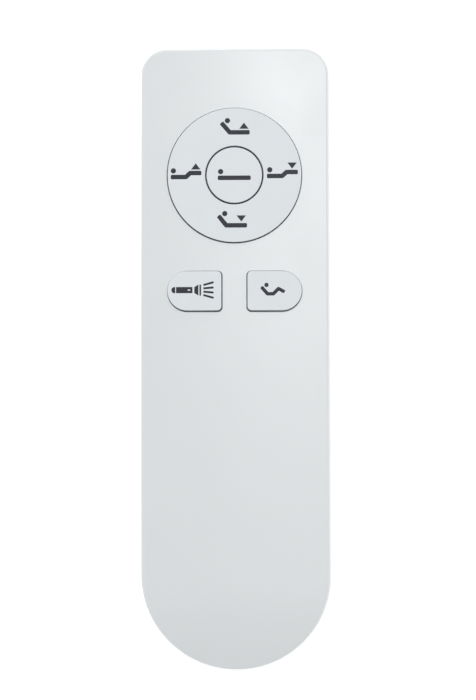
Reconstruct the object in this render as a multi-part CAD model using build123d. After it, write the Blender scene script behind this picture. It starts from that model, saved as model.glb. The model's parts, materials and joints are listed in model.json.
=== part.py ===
from build123d import *
from math import asin, atan2, cos, degrees, radians, sin, tan
import os

# Wireless hand control of an adjustable bed base, lying on its back.
# Millimetres, +Z up. The origin is the middle of the outline, on the flat back.
# +Y points to the end with the torch, and the keys face +Z.

# Housing
LENGTH = 150.6
WIDTH = 46.1  # at the round end
TOP_WIDTH = 45.4  # at the torch end
CORNER_RADIUS = 6.2  # corners of the torch end
SPLIT_Z = 9.5  # parting plane of the two shells
CROWN_Z = 17.5  # highest point of the face
CROWN_Y = 10.0
CROWN_LENGTH_RADIUS = 1600.0
CROWN_CROSS_RADIUS = 250.0
NOSE_START_Y = -56.0  # the face curves down from here to the round end
NOSE_RADIUS = 75.0
FACE_EDGE_RADIUS = 0.7
BACK_EDGE_RADIUS = 3.5
BACK_DRAFT = 5.0  # degrees
WALL = 1.8
LIP_INSET = 1.0  # the front shell's lip stands inside the rear shell's wall
LIP_HEIGHT = 0.9
LIP_GAP = 0.1
FLOOR_Z = 1.0  # bosses and walls start inside the floor
ABOVE_FACE = 20.0  # height over the highest point of the face, for cuts

# Keys. Each opening is a little larger than its key, and is moved down and inwards by the lean,
# so that the gap is widest along the lower edge.
RING_Y = 44.6
RING_RADIUS = 16.2
RING_BORE_RADIUS = 7.11
RING_GAP = 0.19
RING_LEAN = (0.05, 0.12)
FLAT_RADIUS = 6.7
KEY_X = 9.73
KEY_Y = 16.62
KEY_LENGTH = 13.1
KEY_WIDTH = 9.5
KEY_CORNER_RADIUS = 1.0
KEY_GAP = (0.165, 0.22)  # along X, along Y
KEY_LEAN = (0.085, 0.16)
KEY_LIFT = 0.35  # key tops above the face
KEY_SKIN = 1.4
KEY_FLANGE = 0.8
KEY_FLANGE_Z = (14.0, 14.8)
KEY_SKIRT_Z = 12.6
KEY_HOLLOW_TOP = 15.9
KEY_POST_RADIUS = 1.8
RIM_RADIUS = 0.18  # edge of the shell's key openings
KEY_EDGE_RADIUS = 0.15
PRESS = 0.8  # travel of the three push keys
TILT = 1.6  # degrees, either way about both axes of the ring
INLAY = 0.25  # depth of the legends

# The direction ring is a hollow ring on a rocker, which stands on two posts of the keypad mat.
RING_UNDER_Z = 16.1
RING_OUTER_WALL = (15.0, RING_RADIUS)
RING_INNER_WALL = (RING_BORE_RADIUS, 8.1)
RING_INNER_FOOT_Z = 13.6
RING_FLANGE_RADIUS = 17.2
RING_FLANGE_Z = (12.8, 13.6)
RING_POST_AT = 13.0
RING_POST_RADIUS = 1.4
ROCKER_RADII = (8.8, 9.8)
ROCKER_Z = (14.62, 15.2)
ROCKER_RIDGE_RADIUS = 0.35
PIVOT_GAP = 0.02
MAT_POST_RADIUS = 0.4
FLAT_FLANGE_RADIUS = 8.2
FLAT_FLANGE_Z = (12.3, 12.9)

# Board and keypad mat
BOARD_Z = (8.4, 9.6)
BOARD_X = 19.8
BOARD_Y = (-7.3, 61.5)
FOIL = 0.05  # height of the pads and the aerial
MAT_TOP = 10.6
MAT_X = 15.2
MAT_Y = (8.0, 61.2)
MAT_EAR_RADIUS = 16.4
DOME_TOP = 11.9
DOME_WALL = 0.45
PLUNGER_TOP = 12.3
PILL_TOP = 10.9
KEY_DOME = (4.2, 3.4, 2.3, 0.15)  # foot, hole and plunger radius, gap round the plunger
RING_DOME = (3.0, 2.6, 1.4, 0.35)
TOUCH_GAP = 0.02
CAN_AT = (-8.0, 48.0)
CAN_SIZE = (2.5, 5.2)  # radius and height

# Battery bay: three AAA cells side by side
CELL_RADIUS = 5.25
CELL_LENGTH = 44.5
NUB_RADIUS = 1.9
NUB_HEIGHT = 0.8
CELL_PITCH = 11.2
CELL_Z = 6.95
CELL_PLAY = 0.3
BAY_X = 16.7
BAY_Y = (-61.6, -10.4)
BAY_WALL = 1.2
BAY_ROOF_Z = 13.2
BAY_SHOULDER_Z = 7.2  # the bay narrows to one channel per cell above this
BRIDGE_Z = (4.4, 6.8)  # strips between two contact plates
TAB_Z = (9.68, 9.98)
TAB_X = (-12.4, -10.0)
RISER_X = (7.6, 9.0)
SLOT_PLAY = 0.13  # clearance round the contacts in their slots
PLATE = 0.3
PLATE_SIZE = 7.2
DIMPLE = 0.75
DIMPLE_RADIUS = 1.2
SPRING_WIRE = 0.6
SPRING_RADII = (3.1, 2.2)  # at the plate, at the cell
SPRING_TURNS = 4
COIL_CORNERS = 8
LEAD_RADIUS = 0.6
LEAD_X = 5.6
LEAD_Z = 12.4

# Battery door
DOOR_X = 17.0
DOOR_Y = (-63.8, -7.8)
DOOR_Z = (0.15, 1.45)
DOOR_GAP = 0.2
DOOR_CORNERS = (8.0, 1.5)  # at the round end, at the hinge
FRAME_X = 18.6
FRAME_Y = (-65.0, -5.6)
FRAME_TOP = 3.6
LEDGE = 1.0  # the frame that the door rests against
HOOK_X = 10.0
HOOK_WIDTH = 3.0
HOOK_Z = (1.75, 2.3)
GRIP_Y = -57.2  # thumb grip by the latch
GRIP_SIZE = (8.0, 6.4)
LATCH_SLOT_X = 8.2
CELL_RIB_Y = (-55.0, -17.0)
CELL_RIB_TOP = 2.6

# Screws
HOUSING_SCREWS = [(15.5, 67.0), (-15.5, 67.0), (0.0, -68.3)]
HOUSING_BOSS_RADII = (3.1, 2.6)  # rear shell, front shell
HOUSING_WELL = (2.15, 4.5)  # radius and depth of the hole for the head
HOUSING_HOLE_RADIUS = 1.2
HOUSING_PILOT = (1.0, 12.3)  # radius and top
HOUSING_SCREW = (1.9, 0.97, 12.0)  # head and shank radius, height of the tip
BOARD_SCREWS = [(x, y) for x in (-17.5, 17.5) for y in (4.0, 27.0)]
BOARD_POST_RADIUS = 2.4
BOARD_HOLE_RADIUS = 1.0
BOARD_PILOT = (0.8, 4.0)  # radius and bottom
BOARD_SCREW = (1.6, 0.77, 4.6)  # head and shank radius, height of the tip

# Torch
TORCH_Z = 7.6
LENS_RADIUS = 3.5
LENS_FLANGE_RADIUS = 4.3
LENS_Y = (71.7, 72.7, 74.7)  # back, front of its flange, outer face
REFLECTOR_BACK_Y = 66.6
LED_BACK_Y = 62.0
LED_NOSE_Y = 68.1  # where its round nose starts
LED_RADIUS = 2.5
LED_RIM = 0.4
LEG_X = 1.27
LEG_HALF = 0.25
LEG_BEND_Y = (59.6, 60.1)
LEG_END_Y = 57.0
COLLAR_X = 5.6
COLLAR_Y = (66.2, 73.9)
COLLAR_BACK_Y = 60.0

CUT = 20.0  # longer than any cut has to be


def outline(inset=0.0):
    """Plan of the housing: square top, sides that taper slightly, round end."""
    half = WIDTH / 2 - inset
    top = LENGTH / 2 - inset
    round_y = WIDTH / 2 - LENGTH / 2
    taper = asin((WIDTH - TOP_WIDTH) / 2 / (LENGTH / 2 - round_y))
    low = (half * cos(taper), round_y + half * sin(taper))
    top_half = low[0] - (top - low[1]) * tan(taper)
    plan = make_face(
        [
            Line(low, (top_half, top)),
            Line((top_half, top), (-top_half, top)),
            Line((-top_half, top), (-low[0], low[1])),
            ThreePointArc((-low[0], low[1]), (0, round_y - half), low),
        ]
    )
    corners = plan.vertices().group_by(Axis.Y)[-1]
    return fillet(corners, CORNER_RADIUS - inset)


def face_height(x, y):
    """Height of the crowned face over the back."""
    length_drop = (y - CROWN_Y) ** 2 / (2 * CROWN_LENGTH_RADIUS)
    cross_drop = x**2 / (2 * CROWN_CROSS_RADIUS)
    nose = max(NOSE_START_Y - y, 0.0)
    return CROWN_Z - length_drop - cross_drop - nose**2 / (2 * NOSE_RADIUS)


def crown_surface():
    """The face as one smooth surface, larger than the housing all round."""
    rows = [
        [Vector(x, y, face_height(x, y)) for y in range(-84, 85, 4)]
        for x in range(-28, 29, 7)
    ]
    return Face.make_surface_from_array_of_points(rows, tol=0.002, min_deg=3, max_deg=5)


CROWN = crown_surface()


def above(lift=0.0, depth=CUT):
    """Solid that starts at the face, raised by lift, and is depth high."""
    return extrude(Pos(0, 0, lift) * CROWN, amount=depth, dir=(0, 0, 1))


def block(x, y, z):
    """Box between two limits along each axis."""
    size = [high - low for low, high in (x, y, z)]
    middle = [(low + high) / 2 for low, high in (x, y, z)]
    return Pos(*middle) * Box(*size)


def post(x, y, radius, z):
    """Upright cylinder between two heights."""
    return Pos(x, y, z[0]) * Cylinder(radius, z[1] - z[0], align=(Align.CENTER, Align.CENTER, Align.MIN))


def tube(x, y, radii, z):
    """Upright ring between two heights."""
    return post(x, y, radii[1], z) - post(x, y, radii[0], z)


def rod(x, z, radius, y):
    """Cylinder along Y between two limits."""
    return Pos(x, y[0], z) * Rot(-90, 0, 0) * Cylinder(
        radius, y[1] - y[0], align=(Align.CENTER, Align.CENTER, Align.MIN)
    )


def prism(plan, z):
    """Plan pulled up between two heights."""
    return extrude(Pos(0, 0, z[0]) * plan, amount=z[1] - z[0])


def d_plan(side, grow_x=0.0, grow_y=0.0):
    """Plan of a push key: square towards the middle, round towards the side it is on."""
    radius = KEY_WIDTH / 2 + grow_y
    inner = -KEY_LENGTH / 2 - grow_x
    start = KEY_LENGTH / 2 + grow_x - radius
    square = Pos((inner + start) / 2, 0) * Rectangle(start - inner, 2 * radius)
    corner = max(KEY_CORNER_RADIUS + min(grow_x, grow_y), 0.3)
    square = fillet(square.vertices().group_by(Axis.X)[0], corner)
    plan = square + Pos(start, 0) * Circle(radius)
    if side < 0:
        plan = Rot(0, 0, 180) * plan
    return Pos(side * KEY_X, KEY_Y) * plan


def door_plan(grow=0.0):
    """Plan of the battery door."""
    low, high = DOOR_Y[0] - grow, DOOR_Y[1] + grow
    plan = Pos(0, (low + high) / 2) * Rectangle(2 * (DOOR_X + grow), high - low)
    plan = fillet(plan.vertices().group_by(Axis.Y)[0], DOOR_CORNERS[0] + grow)
    return fillet(plan.vertices().group_by(Axis.Y)[-1], max(DOOR_CORNERS[1] + grow, 0.5))


def lens_collar(z):
    """Block round the lens and the reflector, in one shell."""
    return block((-COLLAR_X, COLLAR_X), COLLAR_Y, z)


def lens_cut():
    """Room for the lens, its flange and the reflector."""
    aperture = rod(0, TORCH_Z, LENS_RADIUS + 0.1, (LENS_Y[1] - 0.1, LENGTH / 2 + 1))
    groove = rod(0, TORCH_Z, LENS_FLANGE_RADIUS + 0.1, (LENS_Y[0] - 0.1, LENS_Y[1] + 0.05))
    return aperture + groove + rod(0, TORCH_Z, LENS_FLANGE_RADIUS - 0.1, (COLLAR_BACK_Y, LENS_Y[0]))


# ---------------------------------------------------------------- housing


def front_shell():
    """Crowned face with the key openings, its lip and three screw bosses."""
    outer = prism(outline(), (SPLIT_Z, ABOVE_FACE)) - above()
    outer = fillet(outer.faces().sort_by(Axis.Z)[-1].edges(), FACE_EDGE_RADIUS)
    shell = outer - (prism(outline(WALL), (SPLIT_Z, ABOVE_FACE)) - above(-WALL))
    shell += prism(outline(LIP_INSET) - outline(WALL), (SPLIT_Z - LIP_HEIGHT, SPLIT_Z))
    inside = above(-WALL / 2)
    for x, y in HOUSING_SCREWS:
        shell += post(x, y, HOUSING_BOSS_RADII[1], (SPLIT_Z + 0.1, ABOVE_FACE)) - inside
    shell += lens_collar((SPLIT_Z + 0.05, ABOVE_FACE)) - inside
    for x, y in HOUSING_SCREWS:
        shell -= post(x, y, HOUSING_PILOT[0], (SPLIT_Z, HOUSING_PILOT[1]))
    shell -= lens_cut()
    shell -= post(-RING_LEAN[0], RING_Y - RING_LEAN[1], RING_RADIUS + RING_GAP, (SPLIT_Z, ABOVE_FACE))
    for side in (-1, 1):
        opening = Pos(-side * KEY_LEAN[0], -KEY_LEAN[1]) * d_plan(side, *KEY_GAP)
        shell -= prism(opening, (SPLIT_Z, ABOVE_FACE))
    face = shell.faces().sort_by(Axis.Z)[-1]
    return fillet([e for wire in face.inner_wires() for e in wire.edges()], RIM_RADIUS)


def battery_bay():
    """Walls, roof and door frame round the cells."""
    reach = (BAY_Y[0] - BAY_WALL, BAY_Y[1] + BAY_WALL)
    side = BAY_X + BAY_WALL
    bay = block((-side, side), reach, (FLOOR_Z, BAY_ROOF_Z))
    bay += block((-FRAME_X, FRAME_X), FRAME_Y, (FLOOR_Z, FRAME_TOP))
    inside = block((-BAY_X, BAY_X), BAY_Y, (FRAME_TOP, BAY_SHOULDER_Z))
    channel = CELL_RADIUS + CELL_PLAY
    for x in (-CELL_PITCH, 0, CELL_PITCH):
        inside += rod(x, CELL_Z, channel, BAY_Y)
    return bay - inside


def rear_shell():
    """Flat back with drafted sides, battery bay, bosses and the door's recess."""
    outer = extrude(Pos(0, 0, SPLIT_Z) * outline(), amount=-SPLIT_Z, taper=BACK_DRAFT)
    outer = fillet(outer.faces().sort_by(Axis.Z)[0].edges(), BACK_EDGE_RADIUS)
    room = extrude(Pos(0, 0, SPLIT_Z) * outline(WALL), amount=WALL - SPLIT_Z, taper=BACK_DRAFT)
    room = fillet(room.faces().sort_by(Axis.Z)[0].edges(), BACK_EDGE_RADIUS - WALL)
    clear = WALL + 2 * LIP_GAP
    upper_room = prism(outline(clear), (SPLIT_Z - 0.1, BAY_ROOF_Z + 1)) - above(-clear)
    shell = outer - room + (battery_bay() & (outer + upper_room))
    for x, y in HOUSING_SCREWS:
        shell += post(x, y, HOUSING_BOSS_RADII[0], (FLOOR_Z, SPLIT_Z - 0.05))
    for x, y in BOARD_SCREWS:
        shell += post(x, y, BOARD_POST_RADIUS, (FLOOR_Z, BOARD_Z[0]))
    shell += lens_collar((FLOOR_Z, SPLIT_Z))
    groove = outline(LIP_INSET - LIP_GAP) - outline(WALL + 0.15)
    shell -= prism(groove, (SPLIT_Z - LIP_HEIGHT - LIP_GAP, SPLIT_Z + 0.1))
    shell -= lens_cut()
    for x, y in HOUSING_SCREWS:
        shell -= post(x, y, HOUSING_WELL[0], (-1, HOUSING_WELL[1]))
        shell -= post(x, y, HOUSING_HOLE_RADIUS, (HOUSING_WELL[1] - 0.1, SPLIT_Z + 1))
    for x, y in BOARD_SCREWS:
        shell -= post(x, y, BOARD_PILOT[0], (BOARD_PILOT[1], BOARD_Z[0] + 1))
    return shell - door_room() - contact_room()


def door_room():
    """Recess of the door, the mouth of the bay inside it and the pockets of the hooks."""
    depth = (FLOOR_Z, FRAME_TOP + 0.1)
    room = prism(door_plan(DOOR_GAP), (-1, DOOR_Z[1] + 0.05))
    room += block((-BAY_X, BAY_X), BAY_Y, depth) & prism(door_plan(-LEDGE), depth)
    for side in (-1, 1):
        half = HOOK_WIDTH / 2 + DOOR_GAP
        x = (side * HOOK_X - half, side * HOOK_X + half)
        pocket = Pos(x[0], *door_axis()) * Rot(0, 90, 0) * Cylinder(
            2.1, x[1] - x[0], align=(Align.CENTER, Align.CENTER, Align.MIN)
        )
        room += pocket & block(x, (-12, -4), (DOOR_Z[1], 4))
    return room


def contact_room():
    """Slots for the positive tab and the negative terminal, and the groove of the lead."""
    tab_x = (TAB_X[0] - 0.3, TAB_X[1] + 0.3)
    tab = block(tab_x, (BAY_Y[1] - 1, -9), (TAB_Z[0] - SLOT_PLAY, TAB_Z[1] + SLOT_PLAY))
    riser_x = (RISER_X[0] - 0.2, RISER_X[1] + 0.2)
    riser = block(riser_x, (BAY_Y[0], BAY_Y[0] + 0.45), (BAY_SHOULDER_Z, BAY_ROOF_Z + 1))
    groove_z = (LEAD_Z - LEAD_RADIUS - 0.1, BAY_ROOF_Z + 1)
    groove_x = (LEAD_X - LEAD_RADIUS - 0.2, LEAD_X + LEAD_RADIUS + 0.2)
    corner = block((groove_x[0], riser_x[1]), (BAY_Y[0], -56.8), groove_z)
    return tab + riser + corner + block(groove_x, (-57, -9), groove_z)


def door_axis():
    """Y and Z of the door's hinge line, the middle of its round edge."""
    half = (DOOR_Z[1] - DOOR_Z[0]) / 2
    return DOOR_Y[1] - half, DOOR_Z[0] + half


def battery_door():
    """Door with a round hinge edge, two hooks, ribs between the cells and a sprung latch."""
    door = prism(door_plan(), DOOR_Z)
    edge = door.edges().filter_by(Axis.X).group_by(Axis.Y)[-1]
    door = fillet(edge, (DOOR_Z[1] - DOOR_Z[0]) / 2 - 0.01)
    grip = Pos(0, GRIP_Y) * SlotCenterToCenter(*GRIP_SIZE)
    door -= prism(grip, (0, DOOR_Z[0] + 0.5))
    for step in (-1, 0, 1):
        rib = Pos(0, GRIP_Y + 1.7 * step) * SlotCenterToCenter(7.0, 0.7)
        door += prism(rib, (DOOR_Z[0] + 0.1, DOOR_Z[0] + 0.6))
    for side in (-1, 1):
        slot = Pos(side * LATCH_SLOT_X, -60.9) * Rot(0, 0, 90) * SlotCenterToCenter(7.0, 0.6)
        door -= prism(slot, (0, 2))
        x = (side * HOOK_X - HOOK_WIDTH / 2, side * HOOK_X + HOOK_WIDTH / 2)
        door += block(x, (-9.2, -8.5), (DOOR_Z[1] - 0.3, HOOK_Z[1]))
        door += block(x, (-9.2, -7.2), HOOK_Z)
        rib_x = side * CELL_PITCH / 2
        door += block((rib_x - 0.5, rib_x + 0.5), CELL_RIB_Y, (DOOR_Z[1] - 0.2, CELL_RIB_TOP))
    door += block((-3, 3), (DOOR_Y[0] - 0.12, DOOR_Y[0] + 0.3), (0.55, 1.1))
    return door


def pan_screw(x, y, seat, sizes, up):
    """Upright pan-head screw with a cross recess. up is +1 when its head is on top."""
    head_radius, shank_radius, tip = sizes
    head_height = head_radius * 0.8
    head = post(x, y, head_radius, (0, head_height))
    head = fillet(head.edges().group_by(Axis.Z)[-1], head_height * 0.45)
    for turn in (0, 90):
        arm = Pos(x, y, head_height - 0.35) * Rot(0, 0, turn) * Box(head_radius * 1.1, 0.45, 0.8)
        head -= arm
    length = abs(seat - tip)
    shank = post(x, y, shank_radius, (shank_radius * 0.7 - length, 0))
    shank += Pos(x, y, shank_radius * 0.35 - length) * Cone(
        shank_radius * 0.35, shank_radius, shank_radius * 0.7
    )
    screw = head + shank
    if up < 0:
        screw = Pos(x, y, 0) * Rot(180, 0, 0) * Pos(-x, -y, 0) * screw
    return Pos(0, 0, seat) * screw


def housing_screws():
    return [pan_screw(x, y, HOUSING_WELL[1], HOUSING_SCREW, -1) for x, y in HOUSING_SCREWS]


def board_screws():
    return [pan_screw(x, y, BOARD_Z[1], BOARD_SCREW, 1) for x, y in BOARD_SCREWS]


# ---------------------------------------------------------------- torch


def torch_lens():
    """Clear window with a flange held between the shells."""
    window = rod(0, TORCH_Z, LENS_RADIUS, (LENS_Y[0], LENS_Y[2]))
    window += rod(0, TORCH_Z, LENS_FLANGE_RADIUS, (LENS_Y[0], LENS_Y[1]))
    return fillet(window.edges().group_by(Axis.Y)[-1], 0.25)


def torch_reflector():
    """Bowl round the LED."""
    depth = LENS_Y[0] - 0.1 - REFLECTOR_BACK_Y
    outer = Cone(LED_RADIUS + 0.75, LENS_FLANGE_RADIUS - 0.2, depth)
    inner = Cone(LED_RADIUS + 0.15, LENS_FLANGE_RADIUS - 0.6, depth)
    return Pos(0, REFLECTOR_BACK_Y + depth / 2, TORCH_Z) * Rot(-90, 0, 0) * (outer - inner)


def torch_led():
    """Round-nosed LED along Y."""
    body = rod(0, TORCH_Z, LED_RADIUS, (LED_BACK_Y, LED_NOSE_Y))
    body += Pos(0, LED_NOSE_Y, TORCH_Z) * Sphere(LED_RADIUS)
    return body + rod(0, TORCH_Z, LED_RADIUS + LED_RIM, (LED_BACK_Y, LED_BACK_Y + 1))


def torch_led_legs():
    """Two square legs that step up to the underside of the board."""
    top = BOARD_Z[0] - TOUCH_GAP
    legs = []
    for x in (-LEG_X, LEG_X):
        width = (x - LEG_HALF, x + LEG_HALF)
        leg = block(width, (LEG_BEND_Y[0], LED_BACK_Y), (TORCH_Z - LEG_HALF, TORCH_Z + LEG_HALF))
        leg += block(width, LEG_BEND_Y, (TORCH_Z - LEG_HALF, top))
        leg += block(width, (LEG_END_Y, LEG_BEND_Y[1]), (top - 0.4, top))
        legs.append(leg)
    return legs


# ---------------------------------------------------------------- keys


def below_key_tops(solid):
    """Trims a solid to the key tops, which follow the face."""
    return solid - above(KEY_LIFT)


def soften_top(key):
    """Breaks the edge round the top of a key."""
    top = key.faces().sort_by(Axis.Z)[-1]
    return fillet(top.edges(), KEY_EDGE_RADIUS)


def inlay(plan):
    """Legend sunk flush into the top of a key."""
    return prism(plan, (KEY_FLANGE_Z[0], ABOVE_FACE)) & above(KEY_LIFT - INLAY, INLAY)


def direction_ring():
    """Hollow ring with four posts that reach the plungers."""
    body = tube(0, RING_Y, (RING_BORE_RADIUS, RING_RADIUS), (RING_UNDER_Z, ABOVE_FACE))
    ring = soften_top(below_key_tops(body))
    ring += tube(0, RING_Y, RING_OUTER_WALL, (RING_FLANGE_Z[0], RING_UNDER_Z))
    ring += tube(0, RING_Y, (RING_OUTER_WALL[0], RING_FLANGE_RADIUS), RING_FLANGE_Z)
    ring += tube(0, RING_Y, RING_INNER_WALL, (RING_INNER_FOOT_Z, RING_UNDER_Z))
    for x, y in ring_stations():
        ring += post(x, y, RING_POST_RADIUS, (PLUNGER_TOP, RING_UNDER_Z + 0.2))
    return ring - legend_tool(direction_legend_plans())


def flat_button():
    """Round key in the middle of the ring."""
    body = post(0, RING_Y, FLAT_RADIUS, (FLAT_FLANGE_Z[0], ABOVE_FACE))
    key = soften_top(below_key_tops(body))
    key += post(0, RING_Y, FLAT_FLANGE_RADIUS, FLAT_FLANGE_Z)
    key -= post(0, RING_Y, FLAT_RADIUS - KEY_SKIN, (0, KEY_HOLLOW_TOP))
    key += post(0, RING_Y, KEY_POST_RADIUS, (PLUNGER_TOP, RING_UNDER_Z))
    return key - legend_tool([flat_legend_plan()])


def push_key(side):
    """D-shaped key with a skirt, a flange under the shell and a post in the middle."""
    body = prism(d_plan(side), (KEY_SKIRT_Z, ABOVE_FACE))
    key = soften_top(below_key_tops(body))
    key += prism(d_plan(side, KEY_FLANGE, KEY_FLANGE), KEY_FLANGE_Z)
    key -= prism(d_plan(side, -KEY_SKIN, -KEY_SKIN), (0, KEY_HOLLOW_TOP))
    key += post(side * KEY_X, KEY_Y, KEY_POST_RADIUS, (PLUNGER_TOP, RING_UNDER_Z))
    plan = torch_legend_plan() if side < 0 else zero_gravity_legend_plan()
    return key - legend_tool([plan])


def ring_stations():
    """The four places where the ring presses."""
    turns = [radians(90 * step) for step in range(4)]
    return [(RING_POST_AT * cos(a), RING_Y + RING_POST_AT * sin(a)) for a in turns]


def ring_rocker():
    """Flat ring under the direction ring, with a ridge on each side for it to tip on."""
    rocker = tube(0, RING_Y, ROCKER_RADII, ROCKER_Z)
    ridge_z = RING_UNDER_Z - PIVOT_GAP - ROCKER_RIDGE_RADIUS
    width = (RING_Y - ROCKER_RIDGE_RADIUS, RING_Y + ROCKER_RIDGE_RADIUS)
    for side in (-1, 1):
        ends = sorted((side * ROCKER_RADII[0] * 1.01, side * ROCKER_RADII[1] * 0.99))
        ridge = block(ends, width, (ROCKER_Z[1] - 0.1, ridge_z))
        length = ends[1] - ends[0]
        middle = (ends[0] + ends[1]) / 2
        ridge += Pos(middle, RING_Y, ridge_z) * Rot(0, 90, 0) * Cylinder(ROCKER_RIDGE_RADIUS, length)
        rocker += ridge
    return rocker


# ---------------------------------------------------------------- legends


def stroke(points, width):
    """Bar of even width through the points, with slightly rounded ends."""
    bar = Sketch()
    for (x0, y0), (x1, y1) in zip(points, points[1:]):
        length = ((x1 - x0) ** 2 + (y1 - y0) ** 2) ** 0.5
        turn = degrees(atan2(y1 - y0, x1 - x0))
        piece = Rot(0, 0, turn) * RectangleRounded(length, width, width * 0.3)
        bar += Pos((x0 + x1) / 2, (y0 + y1) / 2) * piece
    for x, y in points[1:-1]:
        bar += Pos(x, y) * Circle(width / 2)
    return bar


def lying_figure(points, head, width=1.1, head_radius=0.64):
    """Person on a mattress: a bent bar and a round head."""
    return stroke(points, width) + Pos(*head) * Circle(head_radius)


def arrow(x, base_y, tip_y, half=1.15):
    """Triangle that points up or down."""
    corners = [(x - half, base_y), (x + half, base_y), (x, tip_y)]
    if tip_y < base_y:
        corners.reverse()
    return Sketch() + make_face(Polyline(*corners, close=True))


def direction_legend_plans():
    """Head up, head down, foot up and foot down, in that order."""
    head_up = lying_figure([(-3.15, 12.7), (-1.1, 10.35), (3.75, 10.35)], (-1.65, 13.2))
    head_down = lying_figure([(-3.85, -9.8), (-1.95, -12.15), (3.1, -12.15)], (-2.3, -9.3))
    foot = [(0.0, 0.0), (3.7, 0.0), (4.75, 0.95), (7.5, 0.95)]
    foot_up = lying_figure([(x - 15.45, y - 0.4) for x, y in foot], (-14.8, 1.1))
    foot_down = lying_figure([(x + 7.9, y - 0.25) for x, y in foot], (8.6, 1.25))
    pairs = [
        head_up + arrow(2.35, 11.2, 12.7),
        head_down + arrow(1.7, -9.75, -11.25),
        foot_up + arrow(-9.35, 1.4, 2.9),
        foot_down + arrow(14.0, 3.0, 1.5),
    ]
    return [Pos(0, RING_Y) * plan for plan in pairs]


def flat_legend_plan():
    """Person lying flat."""
    return Pos(0, RING_Y) * lying_figure([(-4.0, -0.65), (4.0, -0.65)], (-3.3, 0.85))


def zero_gravity_legend_plan():
    """Person with head and knees raised."""
    points = [(-2.8, 0.75), (-1.3, -0.95), (0.1, -0.95), (1.35, 0.3), (2.85, -0.5)]
    figure = lying_figure(points, (-1.55, 1.2), 0.85, 0.52)
    return Pos(KEY_X - 0.4, KEY_Y + 0.2) * figure


def torch_legend_plan():
    """Hand torch with four rays."""
    tail = Pos(-4.85, 0) * Circle(0.75) & Pos(-5.1, 0) * Rectangle(0.9, 2)
    barrel = Pos(-2.45, 0) * Rectangle(4.0, 1.5) - Pos(-1.3, 0) * Rectangle(0.62, 0.3)
    head = make_face(Polyline((0.0, -0.7), (1.0, -1.35), (1.0, 1.35), (0.0, 0.7), close=True))
    icon = tail + barrel + head + Pos(1.45, 0) * Rectangle(0.4, 2.66)
    for near, far in ((0.4, 0.62), (1.2, 1.9)):
        for side in (-1, 1):
            icon += stroke([(2.2, side * near), (4.7, side * far)], 0.5)
    return Pos(-KEY_X, KEY_Y + 0.2) * icon


def legend_tool(plans):
    """Every legend of one key, as a list of solids to sink into it."""
    return [solid for plan in plans for solid in inlay(plan).solids()]


# ---------------------------------------------------------------- mat and contacts


def dome(x, y, sizes):
    """Cone-shaped web round a plunger."""
    foot, hole, plunger, gap = sizes
    height = DOME_TOP - MAT_TOP
    top = plunger + gap
    middle = Pos(x, y, MAT_TOP + height / 2)
    return middle * (Cone(foot, top + DOME_WALL, height) - Cone(hole, top, height))


def dome_stations():
    """Every dome with its sizes: the ring's four, the flat key's and the two push keys'."""
    stations = [(x, y, RING_DOME) for x, y in ring_stations()]
    stations.append((0, RING_Y, KEY_DOME))
    stations.append((-KEY_X, KEY_Y, KEY_DOME))
    stations.append((KEY_X, KEY_Y, KEY_DOME))
    return stations


def keypad_mat():
    """Silicone sheet with a dome under each contact and two posts for the rocker."""
    z = (BOARD_Z[1], MAT_TOP)
    mat = block((-MAT_X, MAT_X), MAT_Y, z) + post(0, RING_Y, MAT_EAR_RADIUS, z)
    for x, y, sizes in dome_stations():
        mat -= post(x, y, sizes[1], (BOARD_Z[0], MAT_TOP + 1))
    for x, y, sizes in dome_stations():
        mat += dome(x, y, sizes)
    top = ROCKER_Z[0] - PIVOT_GAP - MAT_POST_RADIUS
    for side in (-1, 1):
        y = RING_Y + side * sum(ROCKER_RADII) / 2
        ends = (y - 0.45, y + 0.45)
        mat += block((-MAT_POST_RADIUS, MAT_POST_RADIUS), ends, (MAT_TOP - 0.2, top))
        mat += rod(0, top, MAT_POST_RADIUS, ends)
    return mat


def plunger(x, y, sizes):
    return post(x, y, sizes[2], (PILL_TOP, PLUNGER_TOP))


def pill(x, y, sizes, travel):
    """Carbon pill that stops just clear of the pads at full travel."""
    bottom = BOARD_Z[1] + FOIL + travel + TOUCH_GAP
    return post(x, y, sizes[2] - 0.15, (bottom, PILL_TOP))


def ring_travel():
    """Drop of a ring plunger's outer edge at full tilt."""
    return (RING_POST_AT + RING_POST_RADIUS) * sin(radians(TILT)) + TOUCH_GAP


# ---------------------------------------------------------------- board


def circuit_board():
    low, high = BOARD_Y
    plan = Pos(0, (low + high) / 2) * RectangleRounded(2 * BOARD_X, high - low, 2.5)
    for x, y in BOARD_SCREWS:
        plan -= Pos(x, y) * Circle(BOARD_HOLE_RADIUS)
    return prism(plan, BOARD_Z)


def contact_pads():
    """Comb pads under the pills and two solder pads for the battery."""
    z = (BOARD_Z[1], BOARD_Z[1] + FOIL)
    pads = []
    for x, y, sizes in dome_stations():
        disc = Circle(sizes[2] - 0.1)
        for step in (-1, 0, 1):
            disc -= Pos(step * sizes[2] * 0.5, 0) * Rectangle(0.25, 9)
        pads += prism(Pos(x, y) * disc, z).solids()
    pads.append(block((-12.7, -9.7), (-6.9, -4.6), z))
    pads.append(block((LEAD_X - 1.3, LEAD_X + 1.3), (-6.0, -2.6), z))
    return pads


def hanging(x, y, length, width, height):
    """Part on the underside of the board."""
    top = BOARD_Z[0]
    return block((x - length / 2, x + length / 2), (y - width / 2, y + width / 2), (top - height, top))


def chip(x, y, size, height, legs, leg_reach):
    """Square chip with legs on two sides, hanging under the board."""
    body = hanging(x, y, size, size, height)
    body = fillet(body.edges().filter_by(Axis.Z), 0.2)
    for step in range(legs):
        along = y + (step - (legs - 1) / 2) * size / legs
        body += hanging(x, along, size + 2 * leg_reach, 0.3, 0.25)
    return body


def chip_rows(places, length, width, height):
    return [hanging(x, y, length, width, height) for x, y in places]


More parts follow.
